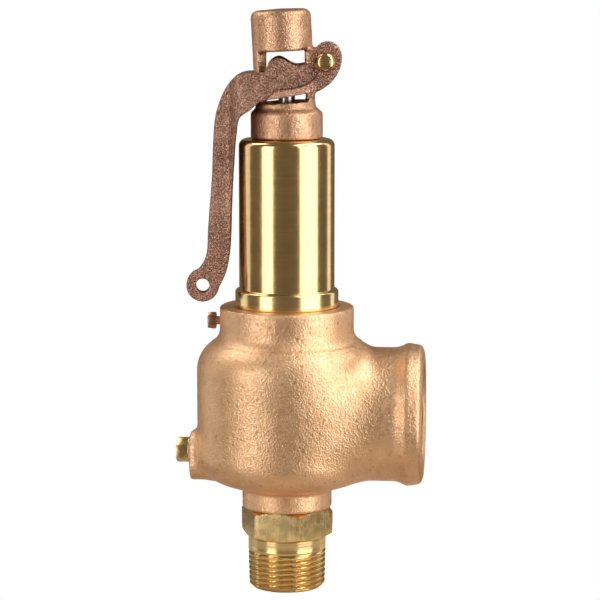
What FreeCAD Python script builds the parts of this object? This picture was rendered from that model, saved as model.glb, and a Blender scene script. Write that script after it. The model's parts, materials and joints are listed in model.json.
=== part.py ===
import FreeCAD, Part
import math
import os

# Spring-loaded pressure relief valve with a lifting lever, in millimetres.
# The origin is on the inlet axis at the inlet's end face. +Z is up along the stem,
# +X points out of the side outlet, and the lever hangs on the -X side. The cap and lever are
# drawn square to this frame, then turned a little about Z, as the cap happens to be tightened.

Vector = FreeCAD.Vector
ORIGIN = Vector(0, 0, 0)
X_AXIS = Vector(1, 0, 0)
Y_AXIS = Vector(0, 1, 0)
Z_AXIS = Vector(0, 0, 1)

# Fits between round pieces, as a difference of radii
thread_gap = 0.05
slide_gap = 0.08

# Inlet nozzle: a 1 inch taper pipe thread under a hexagon
inlet_bore_radius = 11.5
inlet_bore_depth = 30.0
thread_end_radius = 16.2
thread_taper = 1 / 32
thread_pitch = 2.209
thread_depth = 1.3
thread_turns = 7
thread_lead_in = 1.2
hex_bottom = 22.4
hex_top = 35.1
hex_flats = 34.9
hex_corner_angle = -8.1
spigot_radius = 15.0
spigot_top = 47.0
barrel_radius = 12.5
seat_height = 64.0
seat_bore_radius = 8.0
throat_height = 52.0

# Body casting
neck_radius = 19.2
neck_top = 43.3
bowl_foot_radius = 25.0
bowl_foot = 45.1
bowl_bottom = 49.9
bowl_radius = 38.5
cavity_radius = 33.5
cavity_floor = 49.5
cavity_roof = 101.5
ledge_radius = 18.5
guide_seat = 105.0
shoulder_corner = 103.86
collar_foot = 108.18
collar_radius = 28.6
collar_top = 122.1
bonnet_socket_radius = 21.5
socket_mouth = 1.1

# Side outlet: a 1 1/4 inch taper pipe thread, drawn at the thread's root
outlet_height = 75.8
outlet_face = 58.8
outlet_pipe_radius = 28.65
outlet_rim_radius = 30.7
outlet_thread_radius = 20.6
outlet_thread_length = 18.0
outlet_chamfer = 1.0
outlet_passage_radius = 19.0

# Boss and screw that lock the regulator ring
boss_radius = 8.0
boss_upper = 58.8
boss_lower = 53.8
boss_face = 41.6
boss_root = 30.0
ring_screw_radius = 3.2
ring_screw_flats = 9.5
ring_screw_head_end = 47.6
washer_thickness = 0.8
ring_screw_tip_radius = 1.6
ring_screw_tip_end = 15.4

# Regulator ring
ring_bottom = 54.0
ring_top = 63.4
ring_radius = 17.0
notch_count = 12
notch_width = 4.0
notch_depth = 2.0

# Bonnet and the screw that locks it
lock_screw_height = 115.4
lock_screw_radius = 1.8
lock_screw_flats = 6.3
lock_screw_head_inner = 30.4
lock_screw_head_outer = 33.8
bonnet_radius = 20.3
flange_radius = 22.0
flange_bottom = 121.8
flange_top = 129.5
bonnet_top = 193.5
bonnet_bore_radius = 16.5
bonnet_roof = 185.0
bonnet_foot = 109.0
spigot_fit_radius = 21.4
bonnet_boss_radius = 12.0
bonnet_boss_top = 199.0

# Guide plate and the moving stem group
guide_bore_radius = 9.1
guide_boss_radius = 12.0
guide_boss_bottom = 92.0
piston_radius = 9.1 - slide_gap
piston_top = 107.0
skirt_radius = 15.5
skirt_bottom = 65.0
disc_radius = 11.0
disc_bottom = 64.05
disc_top = 70.0
disc_stub_radius = 4.0
disc_stub_top = 75.0
stem_radius = 3.5
stem_bottom = 79.0
stem_top = 225.5
stem_shoulder_radius = 5.5
stem_shoulder_bottom = 110.4
pin_radius = 1.2
pin_half_length = 8.6
pin_height = 85.0

# Spring and its steps
step_radius = 13.5
step_collar_radius = 9.0
lower_step_bottom = 112.0
spring_bottom = 116.0
spring_top = 176.0
spring_gap = 0.1
spring_mean_radius = 12.0
wire_radius = 2.0
spring_turns = 7.0
upper_step_top = 180.0

# Compression screw and its locknut
screw_radius = 8.0
screw_bore_radius = 3.8
screw_shoulder = 203.7
screw_top = 207.5
screw_top_flats = 11.0
locknut_flats = 20.0
locknut_top = 203.5

# Lever cap
cap_bottom = 193.6
cap_ring_radius = 15.25
cap_ring_top = 204.5
cap_thread_depth = 204.0
cap_neck_radius = 12.7
cap_inner_radius = 9.4
cap_inner_top = 236.0
cap_sill = 209.2
cap_lintel = 230.5
cap_top = 248.2
cap_dome_corner = 3.0
cap_lean_degrees = 3.0
cap_lean_height = 197.6
post_half_angle = 34.0
ear_half_width = 7.2
ear_radius = 5.6
ear_top = 231.8
ear_bottom = 213.0
cap_set_screw_radius = 1.9
cap_set_screw_height = 198.0

# Lifting lever and its pivot
cap_turn_degrees = 5.0
pivot_x = 16.2
pivot_z = 226.3
pivot_screw_radius = 2.5
pivot_hole_radius = 2.5 + slide_gap
pivot_head_radius = 4.1
pivot_head_height = 2.9
fork_inner = 7.6
fork_outer = 11.3
rib_outer = 13.3
hook_x = 17.4
hook_z = 228.3
hook_radius = 5.7
fork_root = -14.3
nut_pocket_half_width = 9.4
nut_pocket_half_length = 10.0
nut_ledge = 217.5
handle_half_width = 4.5
eye_x = -35.8
eye_z = 131.1
eye_radius = 7.0
eye_hole_radius = 2.9
eye_half_width = 3.0
eye_shoulder = 4.0
eye_slope = 11.0
pivot_washer_radius = 4.6
pivot_washer_thickness = 0.8
pivot_nut_flats = 8.0
pivot_nut_thickness = 2.9
pivot_side_gap = 0.1

# Nuts on the stem, under the lever's fork
lift_flange_radius = 8.6
lift_flange_bottom = 218.3
lift_flange_top = 221.3
lift_locknut_flats = 11.0
lift_locknut_top = 224.3


def corner_arc(before, here, after, radius):
    """Start, middle and end of the arc that rounds the corner at `here`."""
    back = (before - here).normalize()
    ahead = (after - here).normalize()
    half_angle = back.getAngle(ahead) / 2
    trim = radius / math.tan(half_angle)
    inward = (back + ahead).normalize()
    middle = here + inward * (radius / math.sin(half_angle) - radius)
    return here + back * trim, middle, here + ahead * trim


def outline_face(points):
    """Face of a closed outline in the XY plane. A point is (x, y) or (x, y, corner radius)."""
    corners = [Vector(point[0], point[1], 0) for point in points]
    spans = []
    for index, point in enumerate(points):
        here = corners[index]
        if len(point) == 2:
            spans.append((here, here, here))
        else:
            after = corners[(index + 1) % len(points)]
            spans.append(corner_arc(corners[index - 1], here, after, point[2]))
    edges = []
    for index, (start, middle, end) in enumerate(spans):
        if start.distanceToPoint(end) > 1e-6:
            edges.append(Part.Arc(start, middle, end).toShape())
        following = spans[(index + 1) % len(spans)][0]
        if end.distanceToPoint(following) > 1e-4:
            edges.append(Part.LineSegment(end, following).toShape())
    return Part.Face(Part.Wire(Part.__sortEdges__(edges)))


def stand_up(shape):
    """Turn a shape drawn in XY into the XZ plane, so that its y becomes z."""
    shape.rotate(ORIGIN, X_AXIS, 90)
    return shape


def turned(points):
    """Solid turned about the Z axis from (radius, height) points."""
    return stand_up(outline_face(points)).revolve(ORIGIN, Z_AXIS, 360)


def turned_about_outlet(points):
    """Solid turned about the outlet's axis from (x, radius) points."""
    face = stand_up(outline_face(points))
    solid = face.revolve(ORIGIN, X_AXIS, 360)
    solid.translate(Vector(0, 0, outlet_height))
    return solid


def side_plate(face, y_low, y_high):
    """Extrude a face that stands in the XZ plane from y_low to y_high."""
    plate = face.copy()
    plate.translate(Vector(0, y_low, 0))
    return plate.extrude(Vector(0, y_high - y_low, 0))


def rod(radius, start, end):
    """Round rod from point to point."""
    return Part.makeCylinder(radius, start.distanceToPoint(end), start, end - start)


def upright(radius, bottom, top):
    """Round rod along the Z axis."""
    return rod(radius, Vector(0, 0, bottom), Vector(0, 0, top))


def hexagon(flats, bottom, top, corner_angle=0.0):
    """Hexagonal prism along the Z axis with its outer corners chamfered at both ends."""
    corner = flats / math.sqrt(3)
    points = []
    for index in range(6):
        angle = math.radians(corner_angle + 60 * index)
        points.append((corner * math.cos(angle), corner * math.sin(angle)))
    face = outline_face(points)
    face.translate(Vector(0, 0, bottom))
    prism = face.extrude(Vector(0, 0, top - bottom))
    bevel = (corner - flats / 2) * 0.8
    rise = bevel * 0.55
    chamfered = turned([
        (0, bottom),
        (corner - bevel, bottom),
        (corner, bottom + rise),
        (corner, top - rise),
        (corner - bevel, top),
        (0, top),
    ])
    return prism.common(chamfered)


def aim_minus_x(shape, height):
    """Lay a shape made along +Z so that it points along -X at a height."""
    shape.rotate(ORIGIN, Y_AXIS, -90)
    shape.translate(Vector(0, 0, height))
    return shape


def mirrored_pair(shape):
    """The shape and its mirror image across the XZ plane."""
    return shape.fuse(shape.mirror(ORIGIN, Y_AXIS))


def whole(shape):
    """The one solid of a finished boolean result, with its split faces joined."""
    solids = shape.removeSplitter().Solids
    if len(solids) != 1:
        raise ValueError("expected one solid, found %d" % len(solids))
    return solids[0]


def make_inlet_nozzle():
    outer = [(inlet_bore_radius, 0), (thread_end_radius - thread_lead_in, 0)]
    thread_start = thread_lead_in
    outer.append((thread_end_radius, thread_start))
    for turn in range(thread_turns):
        base = thread_start + turn * thread_pitch
        crest = thread_end_radius + base * thread_taper
        outer.append((crest, base + 0.2 * thread_pitch))
        outer.append((crest - thread_depth, base + 0.6 * thread_pitch))
        outer.append((crest, base + thread_pitch))
    land_radius = thread_end_radius + hex_bottom * thread_taper - 0.2
    land_start = thread_start + (thread_turns + 0.3) * thread_pitch
    outer.append((land_radius, land_start))
    outer.append((land_radius, hex_bottom + 1))
    outer.append((spigot_radius - thread_gap, hex_bottom + 1))
    outer.append((spigot_radius - thread_gap, spigot_top))
    outer.append((barrel_radius, spigot_top))
    outer.append((barrel_radius, seat_height - 3))
    outer.append((barrel_radius - 2, seat_height - 1))
    outer.append((barrel_radius - 2, seat_height))
    outer.append((seat_bore_radius, seat_height))
    outer.append((seat_bore_radius, throat_height))
    outer.append((inlet_bore_radius, inlet_bore_depth))
    nozzle = turned(outer)
    hexagon_ring = hexagon(hex_flats, hex_bottom, hex_top, hex_corner_angle)
    hexagon_ring = hexagon_ring.cut(upright(spigot_radius - 1, hex_bottom - 1, hex_top + 1))
    return whole(nozzle.fuse(hexagon_ring))


def body_shell():
    """Neck, bowl, shoulder and collar of the body, before the outlet and boss are added."""
    return turned([
        (0, hex_top),
        (neck_radius, hex_top, 0.8),
        (neck_radius, neck_top, 0.8),
        (bowl_foot_radius, bowl_foot),
        (bowl_radius, bowl_bottom, 13.0),
        (bowl_radius, shoulder_corner, 14.0),
        (collar_radius, collar_foot, 6.0),
        (collar_radius, collar_top, 0.8),
        (0, collar_top),
    ])


def outlet_pipe():
    """Outlet pipe with its rolled rim."""
    return turned_about_outlet([
        (0, 0),
        (0, outlet_pipe_radius),
        (48.6, outlet_pipe_radius, 3.0),
        (51.4, outlet_rim_radius, 2.0),
        (outlet_face - 1.6, outlet_rim_radius, 4.4),
        (outlet_face, outlet_rim_radius - 5.0, 0.6),
        (outlet_face, 0),
    ])


def screw_boss():
    """Upright rounded boss on the -X side of the bowl."""
    half = boss_radius
    face = outline_face([
        (-half, boss_lower - half, half - 0.01),
        (half, boss_lower - half, half - 0.01),
        (half, boss_upper + half, half - 0.01),
        (-half, boss_upper + half, half - 0.01),
    ])
    boss = stand_up(face).extrude(Vector(0, boss_face - boss_root, 0))
    boss.rotate(ORIGIN, Z_AXIS, 90)
    boss.translate(Vector(-boss_root, 0, 0))
    return boss


def make_body():
    casting = body_shell().fuse([outlet_pipe(), screw_boss()])
    casting = casting.removeSplitter()
    cavity = turned([
        (0, cavity_floor),
        (cavity_radius, cavity_floor, 10.0),
        (cavity_radius, cavity_roof, 8.0),
        (ledge_radius, cavity_roof),
        (ledge_radius, guide_seat),
        (bonnet_socket_radius, guide_seat),
        (bonnet_socket_radius, collar_top - socket_mouth),
        (bonnet_socket_radius + socket_mouth, collar_top),
        (0, collar_top),
    ])
    passage = turned_about_outlet([
        (0, 0),
        (0, outlet_passage_radius),
        (outlet_face - outlet_chamfer - outlet_thread_length, outlet_passage_radius),
        (outlet_face - outlet_chamfer - outlet_thread_length, outlet_thread_radius),
        (outlet_face - outlet_chamfer, outlet_thread_radius),
        (outlet_face, outlet_thread_radius + outlet_chamfer),
        (outlet_face, 0),
    ])
    inlet_socket = upright(spigot_radius, hex_top, cavity_floor)
    ring_screw_hole = rod(
        ring_screw_radius + thread_gap,
        Vector(-boss_face, 0, boss_upper),
        Vector(-boss_root, 0, boss_upper),
    )
    lock_screw_hole = rod(
        lock_screw_radius + thread_gap,
        Vector(-collar_radius - 1, 0, lock_screw_height),
        Vector(-bonnet_socket_radius + 2, 0, lock_screw_height),
    )
    holes = [cavity, passage, inlet_socket, ring_screw_hole, lock_screw_hole]
    return whole(casting.cut(holes))


def make_regulator_ring():
    ring = turned([
        (barrel_radius + thread_gap, ring_bottom),
        (ring_radius, ring_bottom, 0.6),
        (ring_radius, ring_top - 1.6),
        (ring_radius - 2.6, ring_top),
        (barrel_radius + thread_gap, ring_top),
    ])
    notch = Part.makeBox(
        notch_depth + 1,
        notch_width,
        ring_top - ring_bottom - 2,
        Vector(-ring_radius - 1, -notch_width / 2, ring_bottom),
    )
    for index in range(notch_count):
        cutter = notch.copy()
        cutter.rotate(ORIGIN, Z_AXIS, 360 / notch_count * index)
        ring = ring.cut(cutter)
    return whole(ring)


def make_ring_screw():
    head_start = boss_face + washer_thickness
    head = hexagon(ring_screw_flats, head_start, ring_screw_head_end)
    shank = upright(ring_screw_radius, boss_root + 2, head_start + 1)
    neck = upright(ring_screw_radius - 0.8, 22, boss_root + 2)
    tip = upright(ring_screw_tip_radius, ring_screw_tip_end, 22)
    screw = whole(head.fuse([shank, neck, tip]))
    return aim_minus_x(screw, boss_upper)


def make_ring_screw_washer():
    outer = upright(ring_screw_flats * 0.6, boss_face, boss_face + washer_thickness)
    hole = upright(ring_screw_radius + slide_gap, boss_face, boss_face + washer_thickness)
    return aim_minus_x(whole(outer.cut(hole)), boss_upper)


def make_bonnet_lock_screw():
    head = hexagon(lock_screw_flats, lock_screw_head_inner, lock_screw_head_outer)
    slot = Part.makeBox(
        lock_screw_flats * 2,
        1.1,
        1.2,
        Vector(-lock_screw_flats, -0.55, lock_screw_head_outer - 1.2),
    )
    shank = upright(lock_screw_radius, bonnet_socket_radius, lock_screw_head_inner + 0.5)
    screw = whole(head.cut(slot).fuse(shank))
    return aim_minus_x(screw, lock_screw_height)


def make_bonnet():
    return turned([
        (screw_radius + thread_gap, bonnet_roof),
        (screw_radius + thread_gap, bonnet_boss_top),
        (bonnet_boss_radius, bonnet_boss_top, 0.6),
        (bonnet_boss_radius, bonnet_top),
        (bonnet_radius, bonnet_top, 3.0),
        (bonnet_radius, flange_top, 1.0),
        (flange_radius, flange_top, 0.99),
        (flange_radius, flange_bottom, 0.5),
        (spigot_fit_radius, flange_bottom),
        (spigot_fit_radius, bonnet_foot),
        (bonnet_bore_radius, bonnet_foot),
        (bonnet_bore_radius, bonnet_roof, 2.0),
    ])


def make_guide_plate():
    return turned([
        (guide_bore_radius, guide_boss_bottom),
        (guide_boss_radius, guide_boss_bottom, 0.6),
        (guide_boss_radius, guide_seat),
        (spigot_fit_radius, guide_seat),
        (spigot_fit_radius, bonnet_foot),
        (guide_bore_radius, bonnet_foot),
    ])


def make_disc():
    return turned([
        (0, disc_bottom),
        (disc_radius, disc_bottom, 0.6),
        (disc_radius, disc_top, 0.6),
        (disc_stub_radius, disc_top),
        (disc_stub_radius, disc_stub_top, 0.6),
        (0, disc_stub_top),
    ])


def make_disc_holder():
    holder = turned([
        (0, disc_stub_top + thread_gap),
        (disc_stub_radius + thread_gap, disc_stub_top + thread_gap),
        (disc_stub_radius + thread_gap, disc_top + thread_gap),
        (disc_radius + thread_gap, disc_top + thread_gap),
        (disc_radius + thread_gap, skirt_bottom),
        (skirt_radius, skirt_bottom, 0.5),
        (skirt_radius, skirt_bottom + 8, 2.0),
        (piston_radius, skirt_bottom + 11, 2.0),
        (piston_radius, piston_top, 0.6),
        (stem_radius + thread_gap, piston_top),
        (stem_radius + thread_gap, stem_bottom - thread_gap),
        (0, stem_bottom - thread_gap),
    ])
    pin_hole = rod(
        pin_radius + thread_gap,
        Vector(0, -skirt_radius, pin_height),
        Vector(0, skirt_radius, pin_height),
    )
    return whole(holder.cut(pin_hole))


def make_stem_pin():
    return rod(
        pin_radius,
        Vector(0, -pin_half_length, pin_height),
        Vector(0, pin_half_length, pin_height),
    )


def make_stem():
    stem = turned([
        (0, stem_bottom),
        (stem_radius, stem_bottom, 0.6),
        (stem_radius, stem_shoulder_bottom),
        (stem_shoulder_radius, stem_shoulder_bottom),
        (stem_shoulder_radius, lower_step_bottom),
        (stem_radius, lower_step_bottom),
        (stem_radius, stem_top, 0.8),
        (0, stem_top),
    ])
    pin_hole = rod(
        pin_radius + thread_gap,
        Vector(0, -stem_radius - 1, pin_height),
        Vector(0, stem_radius + 1, pin_height),
    )
    return whole(stem.cut(pin_hole))


def make_lower_spring_step():
    bore = stem_radius + slide_gap
    return turned([
        (bore, lower_step_bottom),
        (step_radius, lower_step_bottom, 0.6),
        (step_radius, spring_bottom),
        (step_collar_radius, spring_bottom),
        (step_collar_radius, spring_bottom + 4, 0.8),
        (bore, spring_bottom + 4),
    ])


def make_upper_spring_step():
    bore = stem_radius + 0.3
    return turned([
        (bore, upper_step_top),
        (step_radius, upper_step_top, 0.6),
        (step_radius, spring_top),
        (step_collar_radius, spring_top),
        (step_collar_radius, spring_top - 4, 0.8),
        (bore, spring_top - 4),
    ])


def make_spring():
    """Coil of round wire with its two ends ground flat."""
    run_out = wire_radius * 0.7
    bottom = spring_bottom + run_out
    height = spring_top - spring_bottom - 2 * run_out
    path = Part.makeHelix(height / spring_turns, height, spring_mean_radius)
    path.translate(Vector(0, 0, bottom))
    section = Part.Wire(Part.makeCircle(wire_radius, Vector(spring_mean_radius, 0, bottom), Y_AXIS))
    coil = Part.Wire(path.Edges).makePipeShell([section], True, True)
    ground = upright(
        spring_mean_radius + 2 * wire_radius,
        spring_bottom + spring_gap,
        spring_top - spring_gap,
    )
    return whole(coil.common(ground))


def make_compression_screw():
    screw = upright(screw_radius, upper_step_top, screw_shoulder)
    top = hexagon(screw_top_flats, screw_shoulder - 1, screw_top)
    bore = upright(screw_bore_radius, upper_step_top, screw_top)
    return whole(screw.fuse(top).cut(bore))


def make_compression_locknut():
    nut = hexagon(locknut_flats, bonnet_boss_top, locknut_top)
    return whole(nut.cut(upright(screw_radius + thread_gap, bonnet_boss_top, locknut_top)))


def window_cutter():
    """Wedge that opens one cap window, leaving posts on the -X and +X sides."""
    reach = cap_neck_radius * 2
    angle = math.radians(post_half_angle)
    side = reach * math.cos(angle)
    face = outline_face([
        (0, 0),
        (side, reach * math.sin(angle)),
        (side, reach * 2),
        (-side, reach * 2),
        (-side, reach * math.sin(angle)),
    ])
    face.translate(Vector(0, 0, cap_sill))
    return face.extrude(Vector(0, 0, cap_lintel - cap_sill))


def make_cap():
    ring = turned([
        (0, cap_bottom),
        (cap_ring_radius, cap_bottom, 0.5),
        (cap_ring_radius, cap_ring_top, 0.8),
        (cap_neck_radius, cap_ring_top + 2.2),
        (0, cap_ring_top + 2.2),
    ])
    tower = turned([
        (0, cap_ring_top - 2),
        (cap_neck_radius, cap_ring_top - 2),
        (cap_neck_radius, cap_top - 0.6, cap_dome_corner),
        (0, cap_top),
    ])
    tower = tower.cut(mirrored_pair(window_cutter()))
    tower.rotate(Vector(0, 0, cap_lean_height), Y_AXIS, -cap_lean_degrees)
    ear_face = outline_face([
        (cap_inner_radius + 0.4, ear_bottom - 3),
        (cap_neck_radius - 0.6, ear_bottom),
        (pivot_x + ear_radius, pivot_z - ear_radius, ear_radius),
        (pivot_x + ear_radius, ear_top, 4.0),
        (cap_inner_radius + 0.4, ear_top),
    ])
    ear = side_plate(stand_up(ear_face), -ear_half_width, ear_half_width)
    inner = upright(cap_inner_radius, cap_thread_depth - 1, cap_inner_top)
    socket = upright(bonnet_boss_radius + thread_gap, cap_bottom, cap_thread_depth)
    pivot_hole = rod(
        pivot_hole_radius,
        Vector(pivot_x, -ear_half_width, pivot_z),
        Vector(pivot_x, ear_half_width, pivot_z),
    )
    set_screw_hole = rod(
        cap_set_screw_radius + thread_gap,
        Vector(0, bonnet_boss_radius - 1, cap_set_screw_height),
        Vector(0, cap_ring_radius + 1, cap_set_screw_height),
    )
    cap = ring.fuse([tower, ear]).removeSplitter()
    return whole(cap.cut([inner, socket, pivot_hole, set_screw_hole]))


def make_cap_set_screw():
    start = bonnet_boss_radius + thread_gap
    end = cap_ring_radius - 0.3
    screw = rod(
        cap_set_screw_radius,
        Vector(0, start, cap_set_screw_height),
        Vector(0, end, cap_set_screw_height),
    )
    slot = Part.makeBox(6, 1.2, 0.8, Vector(-3, end - 1.2, cap_set_screw_height - 0.4))
    return whole(screw.cut(slot))


def curve(points):
    """Smooth edge through (x, z) points, in the XZ plane."""
    spline = Part.BSplineCurve()
    spline.interpolate([Vector(x, 0, z) for x, z in points])
    return spline.toShape()


def line(start, end):
    """Straight edge between two (x, z) points, in the XZ plane."""
    return Part.LineSegment(Vector(start[0], 0, start[1]), Vector(end[0], 0, end[1])).toShape()


# Side view of the lever's lower edge, from the bend to the hook, as (x, z)
ARM_FOOT = (-9.2, 210.2)
HOOK_START = (12.3, 213.7)
HOOK_BEND = [(17.2, 216.6), (21.0, 220.9), (22.5, 224.4)]


def lever_side_face():
    """Side view of the whole lever: arm with its hump, hook, bend and handle."""
    arm_start = (-14.5, 221.7)
    eye_left = (-42.4, 132.8)
    eye_right = (-29.1, 130.0)
    hook_right = (hook_x + hook_radius, hook_z)
    hook_top = (hook_x, hook_z + hook_radius)
    hook_left = (hook_x - hook_radius, hook_z)
    hump_foot = (-8.4, 222.1)
    outer = curve([
        arm_start,
        (-21.8, 219.4),
        (-27.0, 212.4),
        (-30.4, 201.0),
        (-31.3, 187.0),
        (-32.4, 168.2),
        (-33.5, 153.5),
        (-35.3, 141.2),
        (-38.4, 137.0),
        eye_left,
    ])
    inner = curve([
        eye_right,
        (-26.3, 135.4),
        (-24.5, 142.5),
        (-23.4, 160.0),
        (-22.2, 184.0),
        (-21.1, 197.5),
        (-19.5, 203.0),
        (-15.1, 206.2),
        (-12.2, 208.9),
        ARM_FOOT,
    ])
    hook = curve([HOOK_START, *HOOK_BEND, hook_right])
    crown = Part.Arc(
        Vector(hook_right[0], 0, hook_right[1]),
        Vector(hook_top[0], 0, hook_top[1]),
        Vector(hook_left[0], 0, hook_left[1]),
    ).toShape()
    hump = curve([
        hook_left,
        (10.4, 226.1),
        (7.4, 225.2),
        (4.0, 224.8),
        (0.6, 226.2),
        (-3.0, 228.0),
        (-6.2, 226.9),
        hump_foot,
    ])
    edges = [
        outer,
        line(eye_left, eye_right),
        inner,
        line(ARM_FOOT, HOOK_START),
        hook,
        crown,
        hump,
        line(hump_foot, arm_start),
    ]
    return Part.Face(Part.Wire(Part.__sortEdges__(edges)))


def lever_top_solid():
    """Plan view of the lever, swept up through its whole height: handle, yoke and fork."""
    points = [
        (eye_x - eye_radius - 1, handle_half_width),
        (-24.5, handle_half_width, 4.0),
        (-20.5, fork_outer, 4.0),
        (hook_x + hook_radius + 1, fork_outer),
    ]
    lower = [(point[0], -point[1]) + point[2:] for point in reversed(points)]
    face = outline_face(points + lower)
    face.translate(Vector(0, 0, eye_z - eye_radius))
    return face.extrude(Vector(0, 0, hook_z + hook_radius - eye_z + eye_radius + 1))


def lever_rib():
    """Raised lower rib of one fork plate, which runs on round the hook."""
    hook_right = (hook_x + hook_radius, hook_z)
    rib_start = (-4.5, 214.4)
    rib_end = (11.4, 219.3)
    hook_edge = curve([HOOK_START, *HOOK_BEND, hook_right])
    edges = [
        line(ARM_FOOT, HOOK_START),
        hook_edge,
        line(hook_right, (hook_x, hook_z)),
        line((hook_x, hook_z), rib_end),
        curve([rib_end, (7.0, 216.4), (2.5, 215.3), rib_start]),
        line(rib_start, ARM_FOOT),
    ]
    face = Part.Face(Part.Wire(Part.__sortEdges__(edges)))
    rib = side_plate(face, fork_inner, rib_outer)
    boss = rod(
        hook_radius,
        Vector(hook_x, fork_inner, hook_z),
        Vector(hook_x, rib_outer, hook_z),
    )
    return rib.fuse(boss)


def make_lever():
    side = side_plate(lever_side_face(), -fork_outer, fork_outer)
    blank = side.common(lever_top_solid())
    eye = rod(eye_radius, Vector(eye_x, -eye_half_width, eye_z), Vector(eye_x, eye_half_width, eye_z))
    beside_eye = outline_face([
        (eye_half_width, eye_z - 2 * eye_radius),
        (eye_half_width, eye_z + eye_shoulder, 6.0),
        (handle_half_width, eye_z + eye_shoulder + eye_slope),
        (handle_half_width + 1, eye_z + eye_shoulder + eye_slope),
        (handle_half_width + 1, eye_z - 2 * eye_radius),
    ])
    beside_eye = stand_up(beside_eye).extrude(Vector(0, 3 * eye_radius, 0))
    beside_eye.rotate(ORIGIN, Z_AXIS, 90)
    beside_eye.translate(Vector(eye_x + 1.5 * eye_radius, 0, 0))
    blank = blank.cut(mirrored_pair(beside_eye))
    slot = Part.makeBox(60, 2 * fork_inner, 60, Vector(fork_root, -fork_inner, pivot_z - 40))
    nut_pocket = Part.makeBox(
        2 * nut_pocket_half_length,
        2 * nut_pocket_half_width,
        30,
        Vector(-nut_pocket_half_length, -nut_pocket_half_width, nut_ledge),
    )
    pivot_hole = rod(
        pivot_hole_radius,
        Vector(pivot_x, -rib_outer, pivot_z),
        Vector(pivot_x, rib_outer, pivot_z),
    )
    eye_hole = rod(
        eye_hole_radius,
        Vector(eye_x, -handle_half_width, eye_z),
        Vector(eye_x, handle_half_width, eye_z),
    )
    lever = blank.fuse([eye, mirrored_pair(lever_rib())]).removeSplitter()
    return whole(lever.cut([slot, nut_pocket, pivot_hole, eye_hole]))


def make_pivot_screw():
    head_start = rib_outer + pivot_side_gap
    shank_end = head_start + pivot_washer_thickness + pivot_nut_thickness + 0.8
    head = turned([
        (0, 0),
        (pivot_head_radius, 0),
        (pivot_head_radius, 0.8),
        (pivot_head_radius * 0.72, pivot_head_height, 1.2),
        (0, pivot_head_height),
    ])
    head.rotate(ORIGIN, X_AXIS, 90)
    head.translate(Vector(pivot_x, -head_start, pivot_z))
    shank = rod(
        pivot_screw_radius,
        Vector(pivot_x, -head_start - 0.5, pivot_z),
        Vector(pivot_x, shank_end, pivot_z),
    )
    return whole(head.fuse(shank))


def make_pivot_washer():
    start = rib_outer + pivot_side_gap
    washer = rod(
        pivot_washer_radius,
        Vector(pivot_x, start, pivot_z),
        Vector(pivot_x, start + pivot_washer_thickness, pivot_z),
    )
    hole = rod(
        pivot_screw_radius + thread_gap,
        Vector(pivot_x, start, pivot_z),
        Vector(pivot_x, start + pivot_washer_thickness, pivot_z),
    )
    return whole(washer.cut(hole))


def make_pivot_nut():
    start = rib_outer + pivot_side_gap + pivot_washer_thickness
    nut = hexagon(pivot_nut_flats, 0, pivot_nut_thickness)
    nut = nut.cut(upright(pivot_screw_radius + thread_gap, 0, pivot_nut_thickness))
    nut.rotate(ORIGIN, X_AXIS, -90)
    nut.translate(Vector(pivot_x, start, pivot_z))
    return whole(nut)


def make_lift_nut():
    return turned([
        (stem_radius + thread_gap, lift_flange_bottom),
        (lift_flange_radius, lift_flange_bottom, 0.5),
        (lift_flange_radius, lift_flange_top, 0.5),
        (stem_radius + thread_gap, lift_flange_top),
    ])


def make_lift_locknut():
    nut = hexagon(lift_locknut_flats, lift_flange_top, lift_locknut_top)
    return whole(nut.cut(upright(stem_radius + thread_gap, lift_flange_top, lift_locknut_top)))


MAKERS = {
    "body": make_body,
    "inlet_nozzle": make_inlet_nozzle,
    "regulator_ring": make_regulator_ring,
    "ring_screw": make_ring_screw,
    "ring_screw_washer": make_ring_screw_washer,
    "bonnet_lock_screw": make_bonnet_lock_screw,
    "bonnet": make_bonnet,
    "guide_plate": make_guide_plate,
    "disc": make_disc,
    "disc_holder": make_disc_holder,
    "stem_pin": make_stem_pin,
    "stem": make_stem,
    "lower_spring_step": make_lower_spring_step,
    "spring": make_spring,
    "upper_spring_step": make_upper_spring_step,
    "compression_screw": make_compression_screw,
    "compression_locknut": make_compression_locknut,
    "cap": make_cap,
    "cap_set_screw": make_cap_set_screw,
    "lever": make_lever,
    "pivot_screw": make_pivot_screw,
    "pivot_washer": make_pivot_washer,
    "pivot_nut": make_pivot_nut,
    "lift_nut": make_lift_nut,
    "lift_locknut": make_lift_locknut,
}

TURNED_WITH_CAP = {"cap", "cap_set_screw", "lever", "pivot_screw", "pivot_washer", "pivot_nut"}

os.makedirs("parts", exist_ok=True)
for name, maker in MAKERS.items():
    shape = maker()
    if name in TURNED_WITH_CAP:
        shape.rotate(ORIGIN, Z_AXIS, cap_turn_degrees)
    shape.exportStep("parts/%s.step" % name)
    print("%-20s volume %9.1f valid %s" % (name, shape.Volume, shape.isValid()))
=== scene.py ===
import json
import math

import bmesh
import bpy
import numpy as np
from bpy.props import FloatProperty, FloatVectorProperty, IntProperty, PointerProperty
from mathutils import Matrix, Vector, noise


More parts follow.
